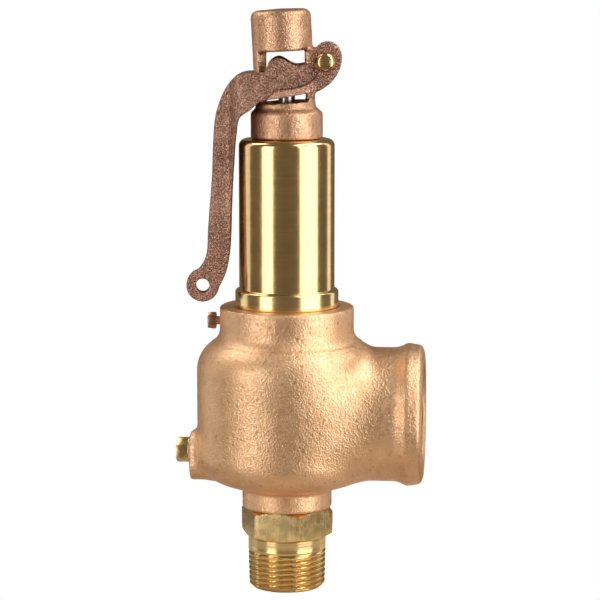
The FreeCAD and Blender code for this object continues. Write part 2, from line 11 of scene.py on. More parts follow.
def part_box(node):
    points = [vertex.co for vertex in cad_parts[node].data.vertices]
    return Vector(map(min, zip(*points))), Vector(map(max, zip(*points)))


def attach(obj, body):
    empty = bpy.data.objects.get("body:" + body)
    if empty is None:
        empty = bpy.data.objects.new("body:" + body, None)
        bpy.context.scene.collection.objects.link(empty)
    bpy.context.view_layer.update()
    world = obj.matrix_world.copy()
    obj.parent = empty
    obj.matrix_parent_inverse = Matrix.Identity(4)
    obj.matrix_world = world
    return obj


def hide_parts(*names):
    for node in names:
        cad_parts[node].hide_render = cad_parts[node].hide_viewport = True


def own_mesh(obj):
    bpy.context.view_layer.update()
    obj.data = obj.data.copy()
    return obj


bl_info = {
    "name": "Relief valve dresser",
    "version": (1, 0, 0),
    "blender": (4, 5, 0),
    "location": "View3D > Sidebar > Valve",
    "description": "Dresses a packed pressure relief valve with cast and turned metal pieces",
    "category": "Add Mesh",
}

MM = 0.001
SMOOTH_LIMIT = math.radians(32)
# In millimetres: outline points closer than the first are one point, and a ring whose radius
# is below the second closes to a point
SAME_SPOT, NO_RADIUS = 1e-4, 1e-6

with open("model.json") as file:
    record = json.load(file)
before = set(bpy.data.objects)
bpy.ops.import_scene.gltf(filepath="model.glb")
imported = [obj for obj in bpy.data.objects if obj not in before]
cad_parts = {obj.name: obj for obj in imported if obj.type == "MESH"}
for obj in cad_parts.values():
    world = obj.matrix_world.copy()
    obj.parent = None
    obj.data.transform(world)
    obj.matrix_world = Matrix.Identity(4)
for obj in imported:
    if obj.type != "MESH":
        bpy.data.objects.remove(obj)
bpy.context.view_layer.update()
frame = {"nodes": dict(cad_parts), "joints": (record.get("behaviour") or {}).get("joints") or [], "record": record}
NODES = frame["nodes"]
MOUNTS = {mount["name"]: mount for mount in frame["record"]["mounts"]}
LEVER_JOINT = next(joint for joint in frame["joints"] if joint["name"] == "lever_pivot")
LIFT_JOINT = next(joint for joint in frame["joints"] if joint["name"] == "stem_lift")
PIVOT = Vector(LEVER_JOINT["pos_m"]) / MM
CAP_TURN = math.degrees(math.atan2(-LEVER_JOINT["axis"][0], LEVER_JOINT["axis"][1]))


# ---------------------------------------------------------------- outlines and meshes


def rounded(points, arc_step=math.radians(6)):
    """Closed outline as an array of (u, v); a point's third value is its corner radius."""
    path = []
    for index, point in enumerate(points):
        here = np.array(point[:2], float)
        if len(point) == 2:
            path.append(here)
            continue
        before = np.array(points[index - 1][:2], float) - here
        after = np.array(points[(index + 1) % len(points)][:2], float) - here
        before /= np.linalg.norm(before)
        after /= np.linalg.norm(after)
        half = math.acos(max(-1.0, min(1.0, float(before @ after)))) / 2
        inward = (before + after) / np.linalg.norm(before + after)
        centre = here + inward * point[2] / math.sin(half)
        start = here + before * point[2] / math.tan(half) - centre
        turn = math.pi - 2 * half
        if before[0] * after[1] - before[1] * after[0] > 0:
            turn = -turn
        steps = max(3, math.ceil(abs(turn) / arc_step))
        for step in range(steps + 1):
            angle = turn * step / steps
            cos, sin = math.cos(angle), math.sin(angle)
            path.append(centre + (start[0] * cos - start[1] * sin, start[0] * sin + start[1] * cos))
    keep = [path[0]]
    for spot in path[1:]:
        if np.linalg.norm(spot - keep[-1]) > SAME_SPOT:
            keep.append(spot)
    return np.array(keep)


def mesh_object(name, vertices, faces):
    """New object from points in millimetres and faces, with its normals outward."""
    mesh = bpy.data.meshes.new(name)
    mesh.from_pydata((np.asarray(vertices) * MM).tolist(), [], faces)
    shell = bmesh.new()
    shell.from_mesh(mesh)
    bmesh.ops.recalc_face_normals(shell, faces=shell.faces)
    shell.to_mesh(mesh)
    shell.free()
    piece = bpy.data.objects.new(name, mesh)
    bpy.context.scene.collection.objects.link(piece)
    return piece


def ring_grid(name, radii, heights, start_angle=0.0):
    """Closed skin over rings of points about Z: radii and heights are (rows, columns) arrays.

    A row of no radius closes to one point; without such rows the last row joins the first.
    """
    rows, columns = radii.shape
    angles = start_angle + np.arange(columns) * 2 * math.pi / columns
    vertices, index = [], []
    for row in range(rows):
        if radii[row].max() < NO_RADIUS:
            index.append([len(vertices)] * columns)
            vertices.append((0.0, 0.0, heights[row][0]))
        else:
            index.append(list(range(len(vertices), len(vertices) + columns)))
            ring = np.stack([radii[row] * np.cos(angles), radii[row] * np.sin(angles), heights[row]], 1)
            vertices.extend(map(tuple, ring))
    solid = radii[0].max() < NO_RADIUS
    faces = []
    for row in range(rows - 1 if solid else rows):
        low, high = index[row], index[(row + 1) % rows]
        for column in range(columns):
            after = (column + 1) % columns
            corners = [low[column], low[after], high[after], high[column]]
            face = list(dict.fromkeys(corners))
            if len(face) > 2:
                faces.append(face)
    return mesh_object(name, vertices, faces)


def turned(name, points, columns=128):
    """Turned solid about the Z axis. Points are (radius, height) or (radius, height, corner)."""
    path = rounded(points)
    radii = np.repeat(path[:, :1], columns, 1)
    heights = np.repeat(path[:, 1:], columns, 1)
    return ring_grid(name, radii, heights)


def place(piece, turn=None, shift=(0, 0, 0)):
    """Turn a piece's mesh about an axis, then move it; the object itself stays at the origin."""
    matrix = Matrix.Translation(Vector(shift) * MM)
    if turn:
        matrix = matrix @ Matrix.Rotation(math.radians(turn[0]), 4, turn[1])
    piece.data.transform(matrix)
    return piece


def saw(phase):
    """Flat-topped thread form from 0 at the root to 1 at the crest, over a phase of 0 to 1."""
    root_flat, flank = 0.06, 0.56
    ramp = np.abs(phase % 1.0 - 0.5) * 2
    return np.clip((ramp - root_flat) / flank, 0, 1)


def apply_modifiers(piece):
    """Bake the modifiers of a piece into its mesh."""
    graph = bpy.context.evaluated_depsgraph_get()
    mesh = bpy.data.meshes.new_from_object(piece.evaluated_get(graph))
    piece.modifiers.clear()
    old = piece.data
    piece.data = mesh
    bpy.data.meshes.remove(old)
    return piece


def remesh(piece, voxel):
    """Rebuild a piece as one even quad skin."""
    modifier = piece.modifiers.new("skin", "REMESH")
    modifier.mode = "VOXEL"
    modifier.voxel_size = voxel * MM
    return apply_modifiers(piece)


def union(pieces):
    """Put the meshes of several pieces into the first one."""
    whole = bmesh.new()
    for piece in pieces:
        whole.from_mesh(piece.data)
    whole.to_mesh(pieces[0].data)
    whole.free()
    for piece in pieces[1:]:
        bpy.data.objects.remove(piece)
    return pieces[0]


def cut(piece, cutters):
    """Cut machined shapes out of a piece, one after another. Cut faces take the second finish."""
    for cutter in cutters:
        for polygon in cutter.data.polygons:
            polygon.material_index = 1
        while len(cutter.data.materials) < 2:
            cutter.data.materials.append(None)
        modifier = piece.modifiers.new("cut", "BOOLEAN")
        modifier.operation = "DIFFERENCE"
        modifier.solver = "MANIFOLD"
        modifier.object = cutter
        before = (len(piece.data.vertices), len(piece.data.polygons))
        apply_modifiers(piece)
        if (len(piece.data.vertices), len(piece.data.polygons)) in (before, (0, 0)):
            raise RuntimeError("cutter %s left %s unchanged or empty" % (cutter.name, piece.name))
        bpy.data.objects.remove(cutter)


def coordinates(mesh):
    """Vertex positions of a mesh, in millimetres."""
    spots = np.empty(len(mesh.vertices) * 3)
    mesh.vertices.foreach_get("co", spots)
    return spots.reshape(-1, 3) / MM


def set_coordinates(mesh, spots):
    """Write vertex positions, in millimetres, back to a mesh."""
    mesh.vertices.foreach_set("co", (spots * MM).ravel())
    mesh.update()


def relax(mesh, passes, weight=0.5):
    """Even out a skin. weight is one number, or one for each vertex."""
    pairs = np.empty(len(mesh.edges) * 2, int)
    mesh.edges.foreach_get("vertices", pairs)
    pairs = pairs.reshape(-1, 2)
    spots = coordinates(mesh)
    count = np.bincount(pairs.ravel(), minlength=len(spots)).astype(float)[:, None]
    weight = np.asarray(weight, float).reshape(-1, 1)
    for _ in range(passes):
        total = np.empty_like(spots)
        for axis in range(3):
            ends = spots[:, axis]
            total[:, axis] = np.bincount(pairs[:, 0], ends[pairs[:, 1]], len(spots))
            total[:, axis] += np.bincount(pairs[:, 1], ends[pairs[:, 0]], len(spots))
        spots += (total / count - spots) * weight
    set_coordinates(mesh, spots)


def cast_skin(mesh, waves, weight=1.0):
    """Push a skin in and out like sand-cast metal. waves are (size, depth) in millimetres."""
    spots = coordinates(mesh)
    normals = np.empty(len(mesh.vertices) * 3)
    mesh.vertices.foreach_get("normal", normals)
    normals = normals.reshape(-1, 3)
    push = np.zeros(len(spots))
    for number, (size, depth) in enumerate(waves):
        # Each wave reads its own part of the noise
        offset = Vector((number * 17.3, 5.1, 9.7))
        push += [depth * noise.noise(Vector(spot / size) + offset) for spot in spots]
    set_coordinates(mesh, spots + normals * (push * weight)[:, None])


def shade(piece):
    """Smooth shading with crisp machined edges."""
    piece.data.polygons.foreach_set("use_smooth", [True] * len(piece.data.polygons))
    piece.data.set_sharp_from_angle(angle=SMOOTH_LIMIT)
    piece.data.update()


def copy_of(node, name):
    """A new piece with a copy of a CAD node's mesh, its seams joined."""
    join_distance = 0.002 * MM
    piece = bpy.data.objects.new(name, NODES[node].data.copy())
    piece.data.materials.clear()
    bpy.context.scene.collection.objects.link(piece)
    shell = bmesh.new()
    shell.from_mesh(piece.data)
    bmesh.ops.remove_doubles(shell, verts=shell.verts, dist=join_distance)
    shell.to_mesh(piece.data)
    shell.free()
    return piece


def softened(node, name, width):
    """A copy of a CAD node whose sharp edges have a small bevel that catches the light."""
    piece = copy_of(node, name)
    shell = bmesh.new()
    shell.from_mesh(piece.data)
    bmesh.ops.dissolve_limit(
        shell, angle_limit=math.radians(1), verts=shell.verts, edges=shell.edges, delimit=set()
    )
    shell.to_mesh(piece.data)
    shell.free()
    modifier = piece.modifiers.new("edges", "BEVEL")
    modifier.width = width * MM
    modifier.segments = 2
    modifier.limit_method = "ANGLE"
    modifier.angle_limit = math.radians(28)
    modifier.use_clamp_overlap = True
    return apply_modifiers(piece)


def finish_piece(piece, body, slot, materials, *nodes):
    """Materials, shading, body and the CAD nodes that the piece stands for."""
    finish = np.zeros(len(piece.data.polygons), np.int32)
    piece.data.polygons.foreach_get("material_index", finish)
    piece.data.materials.clear()
    for item in materials:
        piece.data.materials.append(item)
    piece.data.polygons.foreach_set("material_index", np.minimum(finish, len(materials) - 1))
    shade(piece)
    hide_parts(*nodes)
    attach(piece, body)


# ---------------------------------------------------------------- distance fields


def outline_distance(u, v, path):
    """Signed distance from points to a closed outline, negative inside."""
    nearest = np.full(u.shape, np.inf)
    sign = np.ones(u.shape)
    ends = np.roll(path, -1, 0)
    for (u0, v0), (u1, v1) in zip(path, ends):
        eu, ev = u1 - u0, v1 - v0
        wu, wv = u - u0, v - v0
        along = np.clip((wu * eu + wv * ev) / (eu * eu + ev * ev), 0, 1)
        nearest = np.minimum(nearest, (wu - eu * along) ** 2 + (wv - ev * along) ** 2)
        above = v >= v0
        below = v < v1
        left = eu * wv > ev * wu
        sign = np.where((above & below & left) | (~above & ~below & ~left), -sign, sign)
    return sign * np.sqrt(nearest)


def blend_min(first, second, width):
    """Union of two distances with a fillet of about the given width."""
    near = np.maximum(width - np.abs(first - second), 0) / width
    return np.minimum(first, second) - near * near * width / 4


def settle(mesh, distance, passes):
    """Move each vertex onto the surface where the distance function is zero."""
    probe, least_slope = 0.05, 0.2
    spots = coordinates(mesh)
    for _ in range(passes):
        here = distance(spots)
        slope = np.empty_like(spots)
        for axis in range(3):
            moved = spots.copy()
            moved[:, axis] += probe
            slope[:, axis] = (distance(moved) - here) / probe
        spots -= slope * (here / np.maximum((slope**2).sum(1), least_slope))[:, None]
    set_coordinates(mesh, spots)


# ---------------------------------------------------------------- shader maths


class Value:
    """A shader socket that takes part in Python arithmetic."""

    def __init__(self, shader, socket):
        self.shader = shader
        self.socket = socket

    def math(self, operation, other, flip=False):
        terms = [other, self] if flip else [self, other]
        return self.shader.add("ShaderNodeMath", {"operation": operation}, dict(enumerate(terms)))

    def __add__(self, other):
        return self.math("ADD", other)

    def __sub__(self, other):
        return self.math("SUBTRACT", other)

    def __rsub__(self, other):
        return self.math("SUBTRACT", other, flip=True)

    def __mul__(self, other):
        return self.math("MULTIPLY", other)

    __radd__ = __add__
    __rmul__ = __mul__

    def span(self, low, high):
        """0 below low, 1 above high, and smooth between them."""
        settings = {"interpolation_type": "SMOOTHSTEP"}
        return self.shader.add("ShaderNodeMapRange", settings, {0: self, 1: low, 2: high})


class Shader:
    """One material and its nodes."""

    def __init__(self, name):
        self.material = bpy.data.materials.new(name + "_finish")
        self.material.use_nodes = True
        self.nodes = self.material.node_tree.nodes
        self.links = self.material.node_tree.links
        self.nodes.clear()

    def add(self, kind, settings=None, values=None, output=0):
        """Add a node: its settings first, then the values or links of its sockets."""
        node = self.nodes.new(kind)
        for key, setting in (settings or {}).items():
            setattr(node, key, setting)
        for key, value in (values or {}).items():
            if isinstance(value, Value):
                self.links.new(value.socket, node.inputs[key])
            elif isinstance(value, tuple) and node.inputs[key].type == "RGBA":
                node.inputs[key].default_value = (*value[:3], 1)
            else:
                node.inputs[key].default_value = value
        return Value(self, node.outputs[output])

    def place(self):
        """Position on the piece, in metres."""
        return self.add("ShaderNodeTexCoord", output="Object")

    def part(self, vector, axis):
        """One coordinate of a vector."""
        return self.add("ShaderNodeSeparateXYZ", None, {0: vector}, output=axis)

    def noise(self, size, detail=2.0, roughness=0.5, stretch=(1, 1, 1)):
        """Noise from 0 to 1 with patches of a size in millimetres."""
        scaled = self.add(
            "ShaderNodeVectorMath", {"operation": "MULTIPLY"}, {0: self.place(), 1: stretch}
        )
        values = {"Vector": scaled, "Scale": 1 / (size * MM), "Detail": detail, "Roughness": roughness}
        return self.add("ShaderNodeTexNoise", None, values)

    def cells(self, size):
        """Distance to the nearest of scattered points, for pits and grains."""
        values = {"Vector": self.place(), "Scale": 1 / (size * MM)}
        return self.add("ShaderNodeTexVoronoi", {"feature": "F1"}, values)

    def mix(self, factor, first, second):
        """Mix two colours."""
        settings = {"data_type": "RGBA", "blend_type": "MIX"}
        return self.add("ShaderNodeMix", settings, {0: factor, 6: first, 7: second}, output=2)

    def worn(self):
        """1 on outer edges that hands and tools rub bright, 0 elsewhere."""
        return self.add("ShaderNodeNewGeometry", output=7).span(0.53, 0.60)

    def bump(self, height, depth):
        """Normal from a height of 0 to 1 that stands for a depth in millimetres."""
        values = {"Height": height, "Distance": depth * MM, "Strength": 1.0}
        return self.add("ShaderNodeBump", None, values)

    def surface(self, **sockets):
        """The Principled shader that ends the material."""
        names = {key.replace("_", " ").title(): value for key, value in sockets.items()}
        return self.end(self.add("ShaderNodeBsdfPrincipled", None, names))

    def end(self, surface):
        """Join a surface to the material's output and give the material back."""
        output = self.nodes.new("ShaderNodeOutputMaterial")
        self.links.new(surface.socket, output.inputs["Surface"])
        return self.material


def colour(name):
    """A colour from the valve's settings, as a tuple."""
    return tuple(getattr(bpy.context.scene.valve, name))


def cast_metal(name, light, dark, grain, depth, rough, contrast):
    """Blasted sand-cast bronze: fine bumps that sparkle, darker pits, brighter worn edges and a painted highlight
    where the lever's ribs catch the light.
    """
    shader = Shader(name)
    tone = shader.noise(22, 2.0) * 0.6 + shader.noise(4.5, 3.0, 0.6) * 0.4
    bumps = shader.noise(grain, 2.0, 0.5)
    pits = 1 - shader.cells(grain * 5).span(0.05, 0.30)
    speck = bumps.span(0.42, 0.58)
    base = shader.mix(tone.span(0.30, 0.70) * (1 - contrast) + speck * contrast, dark, light)
    base = shader.mix(pits * 0.35, base, tuple(c * 0.55 for c in dark))
    bright = tuple(min(c * 1.5, 0.95) for c in light)
    # Painted highlight: the faces of the lever's lower ribs are lightened as if light falls on them
    rubbed = shader.add("ShaderNodeAttribute", {"attribute_name": "rubbed"}, output="Fac")
    base = shader.mix(rubbed * (0.35 + speck * 0.55), base, bright)
    base = shader.mix(shader.worn() * 0.40, base, bright)
    return shader.surface(
        base_color=base,
        metallic=1.0,
        roughness=rough + (1 - speck) * 0.14 + (tone - 0.5) * 0.10,
        normal=shader.bump(bumps - pits * 0.3, depth),
    )


def turned_metal(name, base_colour, rough, line, depth):
    """Turned metal: fine tool lines around the Z axis, over a clean polish."""
    shader = Shader(name)
    height = shader.part(shader.place(), "Z")

    def lines(size, detail):
        values = {"W": height, "Scale": 1 / (size * MM), "Detail": detail}
        return shader.add("ShaderNodeTexNoise", {"noise_dimensions": "1D"}, values)

    fine, broad = lines(line, 3.0), lines(9, 2.0)
    smear = shader.noise(5, 3.0)
    tone = fine * 0.5 + broad * 0.3 + smear * 0.2
    base = shader.mix(tone.span(0.3, 0.75), tuple(c * 0.82 for c in base_colour), base_colour)
    return shader.surface(
        base_color=base,
        metallic=1.0,
        roughness=rough + (fine - 0.5) * 0.12 + (smear - 0.5) * 0.1,
        normal=shader.bump(fine, depth),
    )


def worked_metal(name, base_colour, rough, stretch=(1, 1, 6)):
    """Machined or drawn metal with a faint uneven polish, for screws, nuts and inner parts."""
    shader = Shader(name)
    smear = shader.noise(4, 3.0)
    scratch = shader.noise(0.8, 3.0, 0.6, stretch)
    base = shader.mix(smear.span(0.3, 0.7), tuple(c * 0.78 for c in base_colour), base_colour)
    return shader.surface(
        base_color=base,
        metallic=1.0,
        roughness=rough + (smear - 0.5) * 0.16 + (scratch - 0.5) * 0.12,
        normal=shader.bump(scratch, 0.012),
    )


MATERIALS = {
    "cast_bronze": lambda: cast_metal(
        "cast_bronze", colour("bronze_light"), colour("bronze_dark"),
        grain=0.8, depth=0.27, rough=0.36, contrast=0.25),
    "cap_bronze": lambda: cast_metal(
        "cap_bronze", colour("cap_light"), colour("cap_dark"),
        grain=0.8, depth=0.30, rough=0.33, contrast=0.3),
    "lever_bronze": lambda: cast_metal(
        "lever_bronze", colour("lever_light"), colour("lever_dark"),
        grain=0.7, depth=0.50, rough=0.31, contrast=0.55),
    "polished_brass": lambda: turned_metal(
        "polished_brass", colour("brass"), rough=0.17, line=0.45, depth=0.008),
    "machined_brass": lambda: turned_metal(
        "machined_brass", colour("machined"), rough=0.19, line=0.6, depth=0.012),
    "drawn_brass": lambda: worked_metal(
        "drawn_brass", colour("machined"), rough=0.27, stretch=(1, 1, 0.05)),
    "worked_brass": lambda: worked_metal("worked_brass", colour("brass"), rough=0.24),
    "aged_brass": lambda: worked_metal("aged_brass", colour("lever_light"), rough=0.26),
    "bored_bronze": lambda: worked_metal("bored_bronze", colour("bronze_light"), rough=0.30),
    "stainless_steel": lambda: turned_metal(
        "stainless_steel", colour("steel"), rough=0.24, line=0.4, depth=0.005),
    "spring_steel": lambda: worked_metal("spring_steel", colour("spring"), rough=0.42),
}


MADE = {}


def material(name):
    """A finish by name, made the first time it is asked for."""
    if name not in MADE:
        MADE[name] = MATERIALS[name]()
    return MADE[name]


# ---------------------------------------------------------------- settings


class ValveSettings(bpy.types.PropertyGroup):
    """Sizes and colours that a user would change."""

    skin: FloatProperty(
        name="Casting skin", description="Edge length of the body casting's skin, in millimetres",
        default=0.75, min=0.4, max=3.0)
    fillet: FloatProperty(
        name="Outlet fillet", description="Widest blend between bowl and outlet, in millimetres",
        default=13.0, min=1.0, max=30.0)
    columns: IntProperty(
        name="Turning columns", description="Faces around the bonnet and nozzle",
        default=192, min=48, max=512)
    bronze_light: FloatVectorProperty(
        name="Bronze, light", description="Lighter tone of the body casting",
        subtype="COLOR", default=(0.95, 0.625, 0.38))
    bronze_dark: FloatVectorProperty(
        name="Bronze, dark", description="Darker tone of the body casting",
        subtype="COLOR", default=(0.76, 0.45, 0.24))
    cap_light: FloatVectorProperty(
        name="Cap, light", description="Lighter tone of the cap casting",
        subtype="COLOR", default=(0.86, 0.53, 0.34))
    cap_dark: FloatVectorProperty(
        name="Cap, dark", description="Darker tone of the cap casting",
        subtype="COLOR", default=(0.52, 0.29, 0.16))
    lever_light: FloatVectorProperty(
        name="Lever, light", description="Lighter tone of the lever casting",
        subtype="COLOR", default=(0.65, 0.38, 0.28))
    lever_dark: FloatVectorProperty(
        name="Lever, dark", description="Darker tone of the lever casting",
        subtype="COLOR", default=(0.19, 0.09, 0.06))
    brass: FloatVectorProperty(
        name="Brass", description="Turned and polished brass",
        subtype="COLOR", default=(0.86, 0.61, 0.29))
    machined: FloatVectorProperty(
        name="Machined brass", description="Brass of the nozzle and the bonnet's flange, as machined",
        subtype="COLOR", default=(0.93, 0.70, 0.33))
    steel: FloatVectorProperty(
        name="Steel", description="Stainless stem and disc",
        subtype="COLOR", default=(0.62, 0.60, 0.57))
    spring: FloatVectorProperty(
        name="Spring", description="Oiled spring wire", subtype="COLOR", default=(0.20, 0.20, 0.21))


# ---------------------------------------------------------------- body casting

BODY_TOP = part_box("body")[1].z / MM
BODY_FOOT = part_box("body")[0].z / MM
OUTLET_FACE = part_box("body")[1].x / MM
OUTLET_AXIS = MOUNTS["outlet_thread"]["pos_m"][2] / MM
OUTLET_ROOT = MOUNTS["outlet_thread"]["dims"]["r_mm"]
OUTLET_LENGTH = MOUNTS["outlet_thread"]["dims"]["length_mm"]
THREAD_PITCH = 2.209
# Length in millimetres over which a pipe thread's radius changes by 1 mm
TAPER_RUN = 32
BOWL_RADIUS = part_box("body")[1].y / MM
COLLAR_RADIUS = 28.6
NECK_RADIUS = 19.2
SOCKET_RADIUS = 21.5
PIPE_RADIUS = 28.65
RIM_RADIUS = 30.7
BOSS_RADIUS = 8.0
BOSS_SPAN = (53.8, 58.8)
BOSS_ROOT = 20
BOSS_FILLET = 4.5
BOSS_FACE = -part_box("body")[0].x / MM


def bowl_outline():
    """Half section of neck, bowl, shoulder and collar, carried past the axis."""
    return rounded([
        (-BOWL_RADIUS, BODY_FOOT),
        (NECK_RADIUS, BODY_FOOT, 0.9),
        (NECK_RADIUS, 43.3, 1.5),
        (25.0, 45.1, 6.0),
        (BOWL_RADIUS, 49.9, 13.0),
        (BOWL_RADIUS, 103.86, 14.0),
        (COLLAR_RADIUS, 108.18, 6.5),
        (COLLAR_RADIUS, BODY_TOP, 1.0),
        (-BOWL_RADIUS, BODY_TOP),
    ])


def pipe_outline():
    """Half section of the outlet pipe and its rolled rim, carried past the axis."""
    return rounded([
        (0, -30),
        (0, PIPE_RADIUS),
        (48.0, PIPE_RADIUS, 9.0),
        (51.8, RIM_RADIUS, 4.0),
        (OUTLET_FACE - 1.0, RIM_RADIUS - 1.1, 2.0),
        (OUTLET_FACE, RIM_RADIUS - 4.0, 0.6),
        (OUTLET_FACE, -30),
    ])


def boss_distance(spots):
    """Distance to the upright rounded boss that holds the ring screw."""
    along = np.clip(spots[:, 2], *BOSS_SPAN)
    side = np.hypot(spots[:, 1], spots[:, 2] - along) - BOSS_RADIUS
    ends = np.maximum(-BOSS_FACE - spots[:, 0], spots[:, 0] + BOSS_ROOT)
    edge = 1.1
    out_side, out_ends = side + edge, ends + edge
    outside = np.hypot(np.maximum(out_side, 0), np.maximum(out_ends, 0))
    return np.minimum(np.maximum(out_side, out_ends), 0) + outside - edge


def body_distance():
    """Distance to the whole casting, as one function of points in millimetres."""
    bowl, pipe = bowl_outline(), pipe_outline()
    fillet = bpy.context.scene.valve.fillet
    narrowest = 0.25

    def distance(spots):
        x, y, z = spots.T
        to_bowl = outline_distance(np.hypot(x, y), z, bowl)
        to_pipe = outline_distance(x, np.hypot(y, z - OUTLET_AXIS), pipe)
        beside = np.clip(1 - ((z - OUTLET_AXIS) / PIPE_RADIUS) ** 2, 0, 1)
        width = fillet * (narrowest + (1 - narrowest) * beside * beside * (3 - 2 * beside))
        return blend_min(blend_min(to_bowl, to_pipe, width), boss_distance(spots), BOSS_FILLET)

    return distance


def body_blank():
    """Overlapping plain solids that the casting's skin is grown on."""
    bowl = [point for point in bowl_outline() if point[0] > 0]
    pipe = [point for point in pipe_outline() if point[1] > 0]
    bowl = turned("bowl", [(0, BODY_FOOT), *map(tuple, bowl), (0, BODY_TOP)], 96)
    pipe = turned("pipe", [(0, 0), *[(r, x) for x, r in pipe if x > 0], (0, OUTLET_FACE)], 96)
    place(pipe, (90, "Y"), (0, 0, OUTLET_AXIS))
    boss = [(0, BOSS_ROOT), (BOSS_RADIUS, BOSS_ROOT), (BOSS_RADIUS, BOSS_FACE), (0, BOSS_FACE)]
    bosses = []
    for height in (BOSS_SPAN[0], sum(BOSS_SPAN) / 2, BOSS_SPAN[1]):
        rod = turned("boss", boss, 48)
        bosses.append(place(rod, (-90, "Y"), (0, 0, height)))
    return remesh(union([bowl, pipe, *bosses]), bpy.context.scene.valve.skin)


def outlet_cutter():
    """Outlet passage with its tapered female thread, as one solid along the outlet's axis."""
    columns, passage, start = 128, 19.0, 10.0
    thread_depth, thread_room = 1.35, 0.3
    mouth_room, mouth_slope = 1.2, 1.2
    angles = np.arange(columns) / columns
    deep = OUTLET_FACE - 1 - OUTLET_LENGTH
    along = np.arange(deep, OUTLET_FACE + 1, THREAD_PITCH / 8)
    rows = [np.zeros(columns), np.full(columns, passage)]
    heights = [np.full(columns, start), np.full(columns, start)]
    for spot in [deep - 0.5, *along]:
        inward = OUTLET_FACE - spot
        crest = OUTLET_ROOT + thread_room - inward / TAPER_RUN - thread_depth
        radius = crest + thread_depth * saw(spot / THREAD_PITCH + angles)
        mouth = OUTLET_ROOT + mouth_room - inward * mouth_slope
        rows.append(np.maximum(radius, mouth) if spot > deep else np.full(columns, passage))
        heights.append(np.full(columns, spot))
    rows.append(np.zeros(columns))
    heights.append(np.full(columns, along[-1]))
    cutter = ring_grid("outlet_cutter", np.array(rows), np.array(heights))
    return place(cutter, (90, "Y"), (0, 0, OUTLET_AXIS))


def body_cutters():
    """Everything that is bored or cored out of the casting."""
    cavity = turned("cavity", [
        (0, 49.5), (33.5, 49.5, 10.0), (33.5, 101.5, 8.0), (18.5, 101.5), (18.5, 105.0),
        (SOCKET_RADIUS, 105.0), (SOCKET_RADIUS, BODY_TOP - 1.1), (SOCKET_RADIUS + 1.2, BODY_TOP + 0.1),
        (SOCKET_RADIUS + 1.2, BODY_TOP + 2), (0, BODY_TOP + 2),
    ])

    def bore(name, radius, low, high, columns=128):
        return turned(name, [(0, low), (radius, low), (radius, high), (0, high)], columns)

    inlet = bore("inlet", 15.0, BODY_FOOT - 1, 51)
    hole = bore("ring_screw_hole", 3.25, 28, 50, 48)
    place(hole, (-90, "Y"), (0, 0, BOSS_SPAN[1]))
    lock = bore("lock_screw_hole", 1.85, 19, 40, 48)
    lock_height = (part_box("bonnet_lock_screw")[0].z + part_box("bonnet_lock_screw")[1].z) / 2 / MM
    place(lock, (-90, "Y"), (0, 0, lock_height))
    return [cavity, outlet_cutter(), inlet, hole, lock]


class VALVE_OT_body(bpy.types.Operator):
    """Make the cast bronze body, with its blended outlet, boss and machined bores"""

    bl_idname = "valve.body"
    bl_label = "Body casting"

    def execute(self, context):
        body = body_blank()
        body.name = "body_casting"
        distance = body_distance()
        settle(body.data, distance, 2)
        relax(body.data, 2)
        settle(body.data, distance, 2)
        # The foot, which the nozzle's hexagon seats on, stays flat
        machined = coordinates(body.data)[:, 2] < BODY_FOOT + 0.2
        cast_skin(body.data, [(9.0, 0.04), (2.6, 0.03)], np.where(machined, 0.0, 1.0))
        cut(body, body_cutters())
        finishes = [material("cast_bronze"), material("bored_bronze")]
        finish_piece(body, "housing", "cast_bronze", finishes, "body")
        return {"FINISHED"}


# ---------------------------------------------------------------- inlet nozzle


